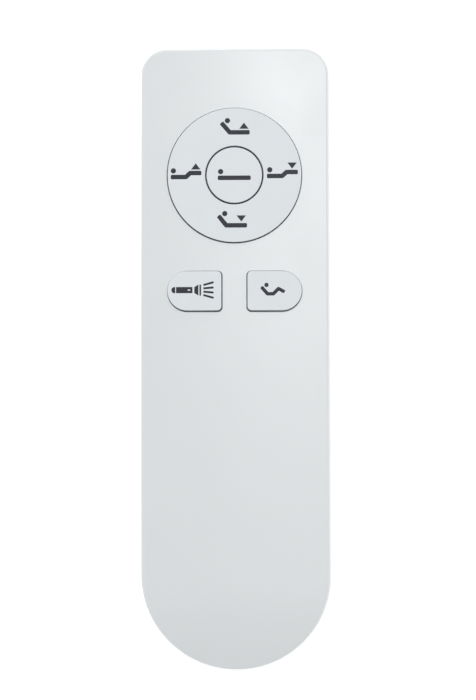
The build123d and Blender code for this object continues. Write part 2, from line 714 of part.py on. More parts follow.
def bulk_capacitor():
    """Electrolytic can that hangs from the board."""
    x, y = CAN_AT
    radius, height = CAN_SIZE
    can = post(x, y, radius, (BOARD_Z[0] - height, BOARD_Z[0]))
    can = fillet(can.edges().group_by(Axis.Z)[0], 0.4)
    return can - tube(x, y, (radius - 0.2, radius + 0.1), (BOARD_Z[0] - 1.3, BOARD_Z[0] - 0.9))


def antenna_trace():
    """Printed aerial that folds back and forth on the underside."""
    z = (BOARD_Z[0] - FOIL, BOARD_Z[0])
    turns, pitch, width = 7, 1.6, 0.7
    left, low, high = 7.5, 52.0, 58.5
    aerial = None
    for step in range(turns):
        x = left + step * pitch
        bar = block((x, x + width), (low, high), z)
        aerial = bar if aerial is None else aerial + bar
        if step + 1 < turns:
            y = high - width if step % 2 == 0 else low
            aerial += block((x, x + pitch + width), (y, y + width), z)
    return aerial


# ---------------------------------------------------------------- battery


def cell_span(plus_up):
    """Lowest and highest Y of a cell, with its nub on a contact's dimple."""
    clear = PLATE + DIMPLE + 0.05
    if plus_up:
        return BAY_Y[1] - clear - CELL_LENGTH, BAY_Y[1] - clear
    return BAY_Y[0] + clear, BAY_Y[0] + clear + CELL_LENGTH


def battery_cell(x, plus_up):
    """AAA cell with its nub at one end."""
    low, high = cell_span(plus_up)
    body = (low, high - NUB_HEIGHT) if plus_up else (low + NUB_HEIGHT, high)
    cell = rod(x, CELL_Z, CELL_RADIUS, body)
    cell = fillet(cell.edges().filter_by(GeomType.CIRCLE), 0.4)
    cell += rod(x, CELL_Z, NUB_RADIUS, (low + 0.2, high) if plus_up else (low, high - 0.2))
    return cell


def contact_plate(x, upper):
    """Square plate on an end wall of the bay."""
    half = PLATE_SIZE / 2
    y = (BAY_Y[1] - PLATE, BAY_Y[1]) if upper else (BAY_Y[0], BAY_Y[0] + PLATE)
    return block((x - half, x + half), y, (CELL_Z - half + 0.4, CELL_Z + half - 0.3))


def dimple(x, upper):
    """Raised spot that touches a cell's nub."""
    if upper:
        return rod(x, CELL_Z, DIMPLE_RADIUS, (BAY_Y[1] - PLATE - DIMPLE, BAY_Y[1] - PLATE))
    return rod(x, CELL_Z, DIMPLE_RADIUS, (BAY_Y[0] + PLATE, BAY_Y[0] + PLATE + DIMPLE))


def bridge(x0, x1, upper):
    """Strip that joins two plates."""
    y = (BAY_Y[1] - PLATE, BAY_Y[1]) if upper else (BAY_Y[0], BAY_Y[0] + PLATE)
    return block((x0, x1), y, BRIDGE_Z)


def positive_terminal():
    """Plate with a dimple, and a tab through the wall onto the board."""
    plate = contact_plate(-CELL_PITCH, True) + dimple(-CELL_PITCH, True)
    return plate + block(TAB_X, (BAY_Y[1] - PLATE, -5.2), TAB_Z)


def upper_bridge_contact():
    plates = contact_plate(0, True) + contact_plate(CELL_PITCH, True)
    return plates + bridge(0, CELL_PITCH, True) + dimple(CELL_PITCH, True)


def lower_bridge_contact():
    plates = contact_plate(-CELL_PITCH, False) + contact_plate(0, False)
    return plates + bridge(-CELL_PITCH, 0, False) + dimple(0, False)


def negative_terminal():
    """Plate with a riser that meets the lead over the roof of the bay."""
    riser = block(RISER_X, (BAY_Y[0], BAY_Y[0] + PLATE), (CELL_Z, BAY_ROOF_Z))
    return contact_plate(CELL_PITCH, False) + riser


def coil(height):
    """Conical coil of round wire along +Z, as tangent arcs and short runs."""
    steps = SPRING_TURNS * COIL_CORNERS
    turn = radians(360 / COIL_CORNERS)
    points = []
    for step in range(steps + 1):
        share = step / steps
        radius = SPRING_RADII[0] + (SPRING_RADII[1] - SPRING_RADII[0]) * share
        points.append((radius * cos(turn * step), radius * sin(turn * step), height * share))
    runs = [(Vector(*b) - Vector(*a)).length for a, b in zip(points, points[1:])]
    bends = [0.45 * min(pair) / tan(turn / 2) for pair in zip(runs, runs[1:])]
    path = FilletPolyline(*points, radius=bends)
    section = Plane(origin=path @ 0, z_dir=path % 0) * Circle(SPRING_WIRE / 2)
    return sweep(section, path=path)


def battery_spring(x, upper):
    """Coil between a plate and the flat end of a cell, pressed to its fitted length."""
    low, high = cell_span(x != 0)
    room = BAY_Y[1] - PLATE - high if upper else low - BAY_Y[0] - PLATE
    inset = SPRING_WIRE / 2 + 2 * TOUCH_GAP
    spring = coil(room - 2 * inset)
    if upper:
        return Pos(x, BAY_Y[1] - PLATE - inset, CELL_Z) * Rot(90, 0, 0) * spring
    return Pos(x, BAY_Y[0] + PLATE + inset, CELL_Z) * Rot(-90, 0, 0) * spring


def battery_springs():
    springs = [battery_spring(0, True), battery_spring(-CELL_PITCH, False)]
    return springs + [battery_spring(CELL_PITCH, False)]


def negative_lead():
    """Wire from the negative terminal, along the roof of the bay, to the board."""
    route = [
        (8.3, BAY_Y[0] + PLATE + LEAD_RADIUS + 0.05, LEAD_Z),
        (LEAD_X, -57.6, LEAD_Z),
        (LEAD_X, -8.4, LEAD_Z),
        (LEAD_X, -6.0, BOARD_Z[1] + FOIL + LEAD_RADIUS + TOUCH_GAP),
        (LEAD_X, -3.0, BOARD_Z[1] + FOIL + LEAD_RADIUS + TOUCH_GAP),
    ]
    path = FilletPolyline(*route, radius=1.3)
    section = Plane(origin=path @ 0, z_dir=path % 0) * Circle(LEAD_RADIUS)
    return sweep(section, path=path)


# ---------------------------------------------------------------- assembly


def nodes():
    """Every node by name. A list is a group of separate solids."""
    capacitors = [(-14 + 4 * step, 12) for step in range(3)]
    capacitors += [(4 + 3 * step, 44) for step in range(3)]
    resistors = [(-14 + 3 * step, 34) for step in range(4)]
    resistors += [(8 + 3 * step, 22) for step in range(3)]
    made = {
        "front_shell": front_shell(),
        "rear_shell": rear_shell(),
        "battery_door": battery_door(),
        "housing_screws": housing_screws(),
        "torch_lens": torch_lens(),
        "torch_reflector": torch_reflector(),
        "torch_led": torch_led(),
        "torch_led_legs": torch_led_legs(),
        "direction_ring": direction_ring(),
        "direction_legends": legend_tool(direction_legend_plans()),
        "flat_button": flat_button(),
        "flat_legend": legend_tool([flat_legend_plan()]),
        "torch_button": push_key(-1),
        "torch_legend": legend_tool([torch_legend_plan()]),
        "zero_gravity_button": push_key(1),
        "zero_gravity_legend": legend_tool([zero_gravity_legend_plan()]),
        "ring_rocker": ring_rocker(),
        "keypad_mat": keypad_mat(),
        "ring_plungers": [plunger(x, y, RING_DOME) for x, y in ring_stations()],
        "ring_pills": [pill(x, y, RING_DOME, ring_travel()) for x, y in ring_stations()],
        "circuit_board": circuit_board(),
        "contact_pads": contact_pads(),
        "board_screws": board_screws(),
        "controller_chip": chip(0, 22, 7.0, 1.4, 8, 1.0),
        "radio_chip": chip(9, 36, 4.0, 0.9, 5, 0.5),
        "crystal": hanging(9, 30, 3.2, 2.5, 0.8),
        "chip_capacitors": chip_rows(capacitors, 1.6, 0.8, 0.8),
        "chip_resistors": chip_rows(resistors, 0.8, 1.6, 0.45),
        "bulk_capacitor": bulk_capacitor(),
        "antenna_trace": antenna_trace(),
        "battery_cell_1": battery_cell(-CELL_PITCH, True),
        "battery_cell_2": battery_cell(0, False),
        "battery_cell_3": battery_cell(CELL_PITCH, True),
        "positive_terminal": positive_terminal(),
        "upper_bridge_contact": upper_bridge_contact(),
        "lower_bridge_contact": lower_bridge_contact(),
        "negative_terminal": negative_terminal(),
        "battery_springs": battery_springs(),
        "negative_lead": negative_lead(),
    }
    push_keys = {"torch": (-KEY_X, KEY_Y), "zero_gravity": (KEY_X, KEY_Y), "flat": (0, RING_Y)}
    for name, place in push_keys.items():
        made[name + "_plunger"] = plunger(*place, KEY_DOME)
        made[name + "_pill"] = pill(*place, KEY_DOME, PRESS)
    return made


os.makedirs("parts", exist_ok=True)
for name, shape in nodes().items():
    if isinstance(shape, list):
        shape = Compound(children=[solid for piece in shape for solid in piece.solids()])
    export_step(shape, f"parts/{name}.step")
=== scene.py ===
import bmesh
import bpy
import json
from math import cos, radians, sin, tau
from mathutils import Euler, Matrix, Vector


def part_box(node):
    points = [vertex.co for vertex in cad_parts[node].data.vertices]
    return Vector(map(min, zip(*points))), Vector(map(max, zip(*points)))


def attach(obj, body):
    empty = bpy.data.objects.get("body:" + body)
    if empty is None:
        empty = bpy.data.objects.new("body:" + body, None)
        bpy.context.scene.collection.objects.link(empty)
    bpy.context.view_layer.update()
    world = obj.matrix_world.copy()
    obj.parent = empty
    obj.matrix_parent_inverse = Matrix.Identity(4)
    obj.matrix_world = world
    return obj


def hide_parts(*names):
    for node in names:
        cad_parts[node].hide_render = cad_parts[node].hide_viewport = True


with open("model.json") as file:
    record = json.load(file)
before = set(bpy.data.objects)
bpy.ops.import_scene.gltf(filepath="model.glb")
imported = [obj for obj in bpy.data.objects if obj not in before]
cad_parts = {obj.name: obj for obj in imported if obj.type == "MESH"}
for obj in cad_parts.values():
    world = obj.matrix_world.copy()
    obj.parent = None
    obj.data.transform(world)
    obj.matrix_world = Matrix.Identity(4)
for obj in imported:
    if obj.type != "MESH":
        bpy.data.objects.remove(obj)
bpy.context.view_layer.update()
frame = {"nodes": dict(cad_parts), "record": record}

# Wireless hand control of an adjustable bed base, lying on its back. Metres, as in the frame.

MM = 0.001

# Camera, above the control and a little to its right
CAMERA_LENS = 250.0
CAMERA_AIM = (0.45 * MM, 2.3 * MM, 12.0 * MM)
CAMERA_DISTANCE = 1181.0 * MM
CAMERA_LEAN = 4.0  # degrees from the vertical, towards +X
CAMERA_ROLL = -0.11  # degrees
CAMERA_NEAR = 0.01

# Light
TENT_UP = 0.645  # strength of the white tent overhead
TENT_TILT = (-0.13, 0.28)  # how much brighter the tent is towards +X and +Y
HORIZON = 1.35  # extra strength near the horizon, all round
HORIZON_TILT = (0.4, 0.5)  # how much brighter that band is towards +X and +Y
HORIZON_FALL = 4.0  # how fast the band fades away from the horizon
SOFTBOX_WIDTH = 0.14
SOFTBOXES = {  # place and power in watts
    "key": ((0.04, 0.17, 1.0), 1.9),
    "side": ((0.15, 0.07, 1.0), 0.4),
}

# Floor
FLOOR_RADIUS = 4.0
FLOOR_SINK = 0.02 * MM  # how far it lies under the control's back
FLOOR_GLOW = 0.37  # the floor is a sheet of milk glass, lit a little from below

# Plastics and ink
SHELL_COLOR = (0.715, 0.743, 0.755)
KEY_COLOR = (0.730, 0.765, 0.791)
INK_COLOR = (0.022, 0.026, 0.034)

# Battery cells
CELLS = {"battery_cell_1": 1, "battery_cell_2": -1, "battery_cell_3": 1}  # plus end towards +Y or -Y
CELL_EDGE = 0.5 * MM  # rounding of the sleeve's ends
CELL_RIM = 0.9 * MM  # width of the sleeve folded over each end
CELL_WALL = 0.5 * MM  # how far the can lies inside the sleeve's outside
CELL_GAP = 0.05 * MM  # from each end of the cell's body to the sleeve
FOLD = 0.08 * MM  # from each end of the cell's body to the folded edge
NUB_RADIUS = 1.9 * MM
NUB_HEIGHT = 0.8 * MM
NUB_EDGE = 0.25 * MM
NUB_FLARE = 0.35 * MM  # how far the nub's foot spreads
SHOULDER = 0.35 * MM  # from the nub's foot down to the can's shoulder
BASE_RADIUS = 3.2 * MM
BASE_HEIGHT = 0.3 * MM
BASE_EDGE = 0.15 * MM
WASHER = 0.18 * MM  # thickness
BAND = 12.0 * MM  # pale end of the sleeve
RULE = 0.35 * MM  # half the width of the line beside it

# Battery springs
SPRING_WIRE = 0.3 * MM
SPRING_FOOT = 3.1 * MM
SPRING_TIP = 2.2 * MM
SPRING_TURNS = 5.5
SPRING_FLAT = 0.75  # turns that lie flat at each end
SPRING_STEPS = 20  # per turn

# Inside the LED: (along, radius) of each closed profile, in millimetres from the back of the cup
LED_BACK = 0.3 * MM  # from the end of the LED to the back of the cup
LED_CUP = (
    (0, 0),
    (0, 0.28),
    (3.2, 0.28),
    (3.3, 0.85),
    (4.0, 1.0),
    (4.05, 0.95),
    (3.95, 0.85),
    (3.55, 0.6),
    (3.5, 0),
)
LED_DROP = ((3.56, 0), (3.57, 0.58), (3.9, 0.8), (4.02, 0.5), (4.1, 0))


# ---------------------------------------------------------------- materials


class Nodes:
    """Adds shader nodes to a tree. Inputs are numbers, colours or another node's output."""

    def __init__(self, tree):
        self.tree = tree

    def node(self, kind, inputs=None, **settings):
        made = self.tree.nodes.new(kind)
        for key, value in settings.items():
            setattr(made, key, value)
        for key, value in (inputs or {}).items():
            self.feed(made.inputs[key], value)
        return made

    def feed(self, socket, value):
        if isinstance(value, bpy.types.NodeSocket):
            self.tree.links.new(value, socket)
        elif hasattr(value, "__len__") and len(value) == 3 and socket.type == "RGBA":
            socket.default_value = (*value, 1.0)
        else:
            socket.default_value = value

    def math(self, operation, *values):
        made = self.node("ShaderNodeMath", operation=operation)
        for socket, value in zip(made.inputs, values):
            self.feed(socket, value)
        return made.outputs[0]

    def dot(self, first, second):
        made = self.node("ShaderNodeVectorMath", operation="DOT_PRODUCT")
        self.feed(made.inputs[0], first)
        self.feed(made.inputs[1], second)
        return made.outputs["Value"]

    def split(self, vector):
        """X, Y and Z of a vector."""
        return self.node("ShaderNodeSeparateXYZ", {"Vector": vector}).outputs


class Paint(Nodes):
    """A Principled material. Patterns follow the object's own coordinates."""

    def __init__(self, name, **inputs):
        self.material = bpy.data.materials.new(name)
        self.material.use_nodes = True
        super().__init__(self.material.node_tree)
        self.shader = self.tree.nodes["Principled BSDF"]
        self.point = self.node("ShaderNodeTexCoord").outputs["Object"]
        for key, value in inputs.items():
            self.set(key.replace("_", " "), value)

    def set(self, name, value):
        self.feed(self.shader.inputs[name], value)

    def stretched(self, scale):
        """The object's own coordinates, scaled by axis."""
        mapping = self.node("ShaderNodeMapping", {"Vector": self.point, "Scale": scale})
        return mapping.outputs[0]

    def noise(self, size, detail=2.0, roughness=0.5, point=None, distortion=0.0):
        """Cloudy pattern from 0 to 1 whose blotches are about size metres."""
        made = self.node(
            "ShaderNodeTexNoise",
            {
                "Vector": point or self.point,
                "Scale": 1.0 / size,
                "Detail": detail,
                "Roughness": roughness,
                "Distortion": distortion,
            },
        )
        return made.outputs["Fac"]

    def cells(self, size):
        """Distance from the middle of each of many small cells."""
        made = self.node("ShaderNodeTexVoronoi", {"Vector": self.point, "Scale": 1.0 / size})
        return made.outputs["Distance"]

    def span(self, value, low, high, out_low=0.0, out_high=1.0):
        """Maps low..high to out_low..out_high, and clamps."""
        made = self.node(
            "ShaderNodeMapRange",
            {
                "Value": value,
                "From Min": low,
                "From Max": high,
                "To Min": out_low,
                "To Max": out_high,
            },
        )
        return made.outputs[0]

    def mix(self, share, first, second):
        """A colour that goes from first to second as share goes from 0 to 1."""
        made = self.node("ShaderNodeMix", data_type="RGBA")
        self.feed(made.inputs["Factor"], share)
        self.feed(made.inputs[6], first)  # sockets 6, 7 and 2 are the colour ones
        self.feed(made.inputs[7], second)
        return made.outputs[2]

    def bump(self, height, depth, normal=None, strength=1.0):
        """Bumps depth metres high where height is 1."""
        made = self.node(
            "ShaderNodeBump", {"Height": height, "Distance": depth, "Strength": strength}
        )
        if normal is not None:
            self.feed(made.inputs["Normal"], normal)
        return made.outputs[0]

    def edges(self, radius, sharpness=6.0):
        """1 along convex and concave edges, 0 on open faces."""
        soft = self.node("ShaderNodeBevel", {"Radius": radius}, samples=4).outputs[0]
        plain = self.node("ShaderNodeNewGeometry").outputs["Normal"]
        away = self.math("SUBTRACT", 1.0, self.dot(soft, plain))
        return self.math("MINIMUM", self.math("MULTIPLY", away, sharpness), 1.0)


def tone(color, factor):
    """The same colour, lighter or darker."""
    return tuple(channel * factor for channel in color)


def shell_paint():
    """Satin white ABS with a very fine spark-eroded grain, a little handling polish, and a painted
    highlight that lightens it along every edge.
    """
    paint = Paint("satin_white_abs", IOR=1.52)
    clouds = paint.noise(22 * MM, 3.0, 0.55)
    flecks = paint.noise(0.9 * MM, 2.0, 0.6)
    color = paint.mix(clouds, tone(SHELL_COLOR, 0.985), tone(SHELL_COLOR, 1.015))
    color = paint.mix(paint.span(flecks, 0.62, 0.8, 0.0, 0.25), color, tone(SHELL_COLOR, 0.96))
    edge_highlight_and_polish = paint.edges(0.35 * MM)
    # painted highlight: the colour is lighter along every convex and concave edge; the lower
    # roughness there is handling polish
    color = paint.mix(paint.math("MULTIPLY", edge_highlight_and_polish, 0.6), color, tone(SHELL_COLOR, 1.12))
    paint.set("Base Color", color)
    handled = paint.noise(30 * MM, 4.0, 0.6, distortion=0.6)
    rough = paint.span(handled, 0.3, 0.75, 0.31, 0.38)
    paint.set("Roughness", paint.math("SUBTRACT", rough, paint.math("MULTIPLY", edge_highlight_and_polish, 0.08)))
    grain = paint.noise(0.28 * MM, 3.0, 0.65)
    sag = paint.noise(14 * MM, 1.0)
    normal = paint.bump(sag, 0.02 * MM)
    paint.set("Normal", paint.bump(grain, 0.006 * MM, normal, 0.6))
    return paint.material


def key_paint():
    """Matte keys of the same plastic with a coarser eroded grain, polished where thumbs land, and a
    painted highlight that lightens them along every edge.
    """
    paint = Paint("matte_key_plastic", IOR=1.50)
    clouds = paint.noise(6 * MM, 3.0, 0.55)
    color = paint.mix(clouds, tone(KEY_COLOR, 0.985), tone(KEY_COLOR, 1.015))
    edge_highlight_and_polish = paint.edges(0.2 * MM)
    # painted highlight: the colour is lighter along every convex and concave edge; the lower
    # roughness there is polish
    color = paint.mix(paint.math("MULTIPLY", edge_highlight_and_polish, 0.3), color, tone(KEY_COLOR, 1.06))
    paint.set("Base Color", color)
    worn = paint.noise(5 * MM, 3.0, 0.5, distortion=0.4)
    rough = paint.span(worn, 0.3, 0.7, 0.58, 0.66)
    paint.set("Roughness", paint.math("SUBTRACT", rough, paint.math("MULTIPLY", edge_highlight_and_polish, 0.12)))
    pits = paint.cells(0.16 * MM)
    grain = paint.math("ADD", paint.noise(0.2 * MM, 3.0, 0.7), paint.math("MULTIPLY", pits, 0.4))
    paint.set("Normal", paint.bump(grain, 0.008 * MM, strength=0.7))
    return paint.material


def ink_paint():
    """Dark blue-grey legend with the slight unevenness of a fill-in print."""
    paint = Paint("legend_ink", IOR=1.48)
    paint.set("Specular IOR Level", 0.3)
    film = paint.noise(0.5 * MM, 3.0, 0.6)
    color = paint.mix(paint.span(film, 0.35, 0.75), tone(INK_COLOR, 0.85), tone(INK_COLOR, 1.35))
    paint.set("Base Color", color)
    paint.set("Roughness", paint.span(paint.noise(0.3 * MM), 0.3, 0.7, 0.42, 0.56))
    paint.set("Normal", paint.bump(paint.noise(0.12 * MM, 2.0), 0.004 * MM))
    return paint.material


def clear_paint(name, color, roughness, ior):
    """Clear polished plastic with faint flow marks."""
    paint = Paint(name, Base_Color=color, Transmission_Weight=1.0, IOR=ior)
    flow = paint.noise(2.5 * MM, 3.0, 0.5, distortion=1.2)
    paint.set("Roughness", paint.span(flow, 0.35, 0.75, roughness, roughness + 0.03))
    paint.set("Normal", paint.bump(flow, 0.003 * MM))
    return paint.material


def metal_paint(name, color, roughness, stretch=None, brush=0.5 * MM, stain=None):
    """Metal with brush marks or a rolled surface, and cloudy tarnish."""
    paint = Paint(name, Metallic=1.0)
    point = paint.stretched(stretch) if stretch else paint.point
    lines = paint.noise(brush, 4.0, 0.7, point=point)
    haze = paint.noise(1.8 * MM, 3.0, 0.55)
    dull = stain or tone(color, 0.8)
    paint.set("Base Color", paint.mix(paint.span(haze, 0.35, 0.8, 0.0, 0.6), color, dull))
    rough = paint.span(lines, 0.3, 0.7, roughness, roughness + 0.12)
    paint.set("Roughness", paint.math("ADD", rough, paint.span(haze, 0.4, 0.8, 0.0, 0.1)))
    paint.set("Normal", paint.bump(lines, 0.002 * MM))
    return paint.material


def reflector_paint():
    """Vacuum-metallised bowl with the faint orange peel of its base coat."""
    paint = Paint("metallised_bowl", Metallic=1.0)
    peel = paint.noise(0.8 * MM, 2.0)
    paint.set("Base Color", paint.mix(peel, (0.84, 0.85, 0.86), (0.92, 0.92, 0.91)))
    paint.set("Roughness", paint.span(peel, 0.3, 0.7, 0.06, 0.14))
    paint.set("Normal", paint.bump(peel, 0.004 * MM))
    return paint.material


def rubber_paint(name, color, roughness, glow=0.0, grain=0.25 * MM):
    """Silicone or carbon rubber: dull, with dust caught in its surface."""
    paint = Paint(name, IOR=1.43, Subsurface_Weight=glow, Subsurface_Scale=0.8 * MM)
    dust = paint.noise(1.2 * MM, 4.0, 0.7)
    paint.set("Base Color", paint.mix(paint.span(dust, 0.4, 0.8), color, tone(color, 1.12)))
    paint.set("Roughness", paint.span(dust, 0.3, 0.7, roughness, roughness + 0.12))
    paint.set("Normal", paint.bump(paint.noise(grain, 3.0, 0.6), 0.006 * MM))
    return paint.material


def plastic_paint(name, color, roughness, grain=0.3 * MM, spread=0.04):
    """Moulded plastic or glazed part with mild colour drift and grain."""
    paint = Paint(name, IOR=1.5)
    drift = paint.noise(2.5 * MM, 3.0, 0.6)
    paint.set("Base Color", paint.mix(drift, tone(color, 1 - spread), tone(color, 1 + spread)))
    paint.set("Roughness", paint.span(drift, 0.3, 0.7, roughness, roughness + 0.1))
    paint.set("Normal", paint.bump(paint.noise(grain, 3.0, 0.6), 0.005 * MM))
    return paint.material


def board_paint():
    """Solder mask over etched tracks, with the bare laminate showing at the sawn edge."""
    paint = Paint("solder_mask", IOR=1.5, Coat_Weight=0.4, Coat_Roughness=0.15)
    tracks = paint.node(
        "ShaderNodeTexBrick",
        {
            "Vector": paint.point,
            "Scale": 1.0,
            "Mortar Size": 0.12 * MM,
            "Brick Width": 2.6 * MM,
            "Row Height": 0.9 * MM,
        },
    ).outputs["Fac"]
    weave = paint.noise(0.4 * MM, 2.0, point=paint.stretched((1, 0.2, 1)))
    mask = paint.mix(tracks, (0.012, 0.075, 0.030), (0.030, 0.150, 0.060))
    mask = paint.mix(paint.span(weave, 0.4, 0.7, 0.0, 0.3), mask, (0.02, 0.10, 0.035))
    facing = paint.split(paint.node("ShaderNodeNewGeometry").outputs["Normal"])["Z"]
    flat = paint.span(paint.math("ABSOLUTE", facing), 0.4, 0.6)
    sawn = paint.mix(weave, (0.35, 0.30, 0.14), (0.50, 0.45, 0.24))
    paint.set("Base Color", paint.mix(flat, sawn, mask))
    paint.set("Roughness", paint.span(flat, 0.0, 1.0, 0.7, 0.35))
    paint.set("Normal", paint.bump(tracks, 0.02 * MM))
    return paint.material


def cell_sleeve_paint(node, plus):
    """Plain printed sleeve: dark body, a pale band at the plus end and a fine rule between."""
    low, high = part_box(node)
    length = high.y - low.y
    paint = Paint("cell_sleeve_" + node[-1], IOR=1.5, Coat_Weight=0.6, Coat_Roughness=0.12)
    minus_end, plus_end = (low.y, high.y) if plus > 0 else (high.y, low.y)
    along = paint.span(paint.split(paint.point)["Y"], minus_end, plus_end)
    drift = paint.noise(3 * MM, 3.0, 0.6)
    dark = paint.mix(drift, (0.020, 0.030, 0.055), (0.030, 0.042, 0.075))
    pale = paint.mix(drift, (0.50, 0.36, 0.10), (0.58, 0.43, 0.14))
    silver = (0.55, 0.56, 0.58)
    border = 1.0 - BAND / length
    color = paint.mix(paint.math("GREATER_THAN", along, border), dark, pale)
    near = paint.math("ABSOLUTE", paint.math("SUBTRACT", along, border))
    color = paint.mix(paint.math("LESS_THAN", near, RULE / length), color, silver)
    scuff = paint.noise(0.35 * MM, 4.0, 0.7, point=paint.stretched((1, 6, 1)))
    paint.set("Base Color", paint.mix(paint.span(scuff, 0.68, 0.8, 0.0, 0.5), color, silver))
    paint.set("Roughness", paint.span(scuff, 0.3, 0.8, 0.28, 0.5))
    paint.set("Normal", paint.bump(drift, 0.01 * MM))
    return paint.material


STEEL = (0.60, 0.60, 0.61)
NICKEL = (0.72, 0.69, 0.64)
PAINTS = {
    "shell": shell_paint(),
    "keys": key_paint(),
    "legend_ink": ink_paint(),
    "lens_clear": clear_paint("polycarbonate_lens", (0.97, 0.985, 0.99), 0.01, 1.585),
    "reflector": reflector_paint(),
    "led_epoxy": clear_paint("led_epoxy", (0.98, 0.985, 0.97), 0.01, 1.54),
    "leg_tin": metal_paint("tinned_leads", (0.68, 0.68, 0.66), 0.25),
    "screw_steel": metal_paint("zinc_plated_steel", STEEL, 0.22, stain=(0.52, 0.50, 0.44)),
    "contact_nickel": metal_paint("nickel_plate", NICKEL, 0.16, (1, 1, 0.12), 0.3 * MM),
    "silicone": rubber_paint("keypad_silicone", (0.62, 0.64, 0.64), 0.5, 0.3),
    "rocker_plastic": plastic_paint("natural_acetal", (0.68, 0.69, 0.68), 0.4),
    "carbon": rubber_paint("carbon_rubber", (0.012, 0.012, 0.013), 0.6, grain=0.1 * MM),
    "board_laminate": board_paint(),
    "gold_foil": metal_paint("gold_flash", (0.83, 0.60, 0.25), 0.2),
    "copper_foil": plastic_paint("masked_copper", (0.05, 0.16, 0.05), 0.35),
    "chip_black": plastic_paint("moulded_epoxy", (0.012, 0.012, 0.013), 0.5, 0.12 * MM, 0.2),
    "crystal_can": metal_paint("nickel_silver_can", (0.66, 0.65, 0.62), 0.2),
    "capacitor_ceramic": plastic_paint("tan_ceramic", (0.26, 0.16, 0.08), 0.4, spread=0.1),
    "resistor_black": plastic_paint("resistor_glaze", (0.02, 0.02, 0.024), 0.3, spread=0.15),
    "capacitor_can": metal_paint("aluminium_can", (0.74, 0.75, 0.76), 0.25, (1, 1, 0.1)),
    "cell_can": metal_paint("cell_steel", (0.66, 0.66, 0.65), 0.18),
    "lead_pvc": plastic_paint("black_pvc", (0.010, 0.010, 0.011), 0.35, 0.5 * MM, 0.15),
}


def paint_nodes():
    """Every node of the frame takes the material of its slot."""
    for subpart in frame["record"]["subparts"]:
        node = frame["nodes"][subpart["node"]]
        node.data.materials.clear()
        node.data.materials.append(PAINTS[subpart["material_slot"]])


# ---------------------------------------------------------------- pieces


def piece(name, mesh, material, body="root"):
    """Puts a finished mesh into the scene, riding on a body."""
    made = bpy.data.objects.new(name, mesh)
    bpy.context.scene.collection.objects.link(made)
    made.data.materials.append(material)
    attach(made, body)
    return made


def lathe(name, profile, start, axis, steps=96):
    """Turns a closed profile of (along, radius) pairs about a line that starts at start."""
    axis = Vector(axis).normalized()
    across = axis.orthogonal().normalized()
    other = axis.cross(across)
    mesh = bmesh.new()
    rings = []
    for along, radius in profile:
        middle = Vector(start) + axis * along
        if radius == 0:
            rings.append([mesh.verts.new(middle)])
            continue
        turn = [tau * step / steps for step in range(steps)]
        points = [middle + (across * cos(a) + other * sin(a)) * radius for a in turn]
        rings.append([mesh.verts.new(point) for point in points])
    for first, second in zip(rings, rings[1:]):
        for step in range(steps):
            after = (step + 1) % steps
            corners = [first[step % len(first)], first[after % len(first)]]
            corners += [second[after % len(second)], second[step % len(second)]]
            mesh.faces.new(list(dict.fromkeys(corners)))
    bmesh.ops.recalc_face_normals(mesh, faces=mesh.faces)
    data = bpy.data.meshes.new(name)
    mesh.to_mesh(data)
    mesh.free()
    data.polygons.foreach_set("use_smooth", [True] * len(data.polygons))
    data.set_sharp_from_angle(angle=radians(40))
    return data


def arc(along, radius, size, start, end, steps=6):
    """Points of a rounded corner about (along, radius), between two angles in degrees."""
    angles = [radians(start + (end - start) * step / steps) for step in range(steps + 1)]
    return [(along + size * sin(a), radius + size * cos(a)) for a in angles]


def battery(node, plus):
    """Cell drawn as its steel can, printed sleeve and insulating washer. plus is 1 or -1, along Y."""
    low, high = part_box(node)
    radius = (high.x - low.x) / 2
    middle = (low + high) / 2
    length = high.y - low.y
    start = Vector((middle.x, low.y if plus > 0 else high.y, middle.z))
    axis = (0, plus, 0)
    body = length - NUB_HEIGHT
    shoulder = body - SHOULDER
    wall = radius - CELL_WALL
    rim = radius - CELL_RIM

    can = [(0.0, 0.0), (0.0, BASE_RADIUS - 2 * BASE_EDGE)]
    can += arc(BASE_EDGE, BASE_RADIUS - BASE_EDGE, BASE_EDGE, -90, 0, 3)
    can += [(BASE_HEIGHT, BASE_RADIUS), (BASE_HEIGHT, wall), (shoulder, wall)]
    can += [(shoulder, NUB_RADIUS + NUB_FLARE), (body, NUB_RADIUS)]
    can += arc(length - NUB_EDGE, NUB_RADIUS - NUB_EDGE, NUB_EDGE, 0, 90, 5)
    can += [(length, 0.0)]
    made = lathe(node + "_can", can, start, axis)
    steel = piece(node + "_can", made, PAINTS["cell_can"])
    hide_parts(node)

    sleeve = [(BASE_HEIGHT, rim), (FOLD, rim)]
    sleeve += arc(CELL_EDGE + CELL_GAP, radius - CELL_EDGE, CELL_EDGE, -90, 0)
    sleeve += arc(body - CELL_EDGE - CELL_GAP, radius - CELL_EDGE, CELL_EDGE, 0, 90)
    sleeve += [(body - FOLD, rim), (shoulder, rim)]
    made = lathe(node + "_sleeve", sleeve, start, axis)
    piece(node + "_sleeve", made, cell_sleeve_paint(node, plus))

    top = shoulder + WASHER
    washer = [(shoulder, NUB_RADIUS + 0.5 * MM), (top, NUB_RADIUS + 0.55 * MM)]
    washer += [(top, rim - 0.15 * MM), (shoulder, rim - 0.1 * MM)]
    made = lathe(node + "_washer", washer, start, axis)
    piece(node + "_washer", made, PAINTS["lead_pvc"])


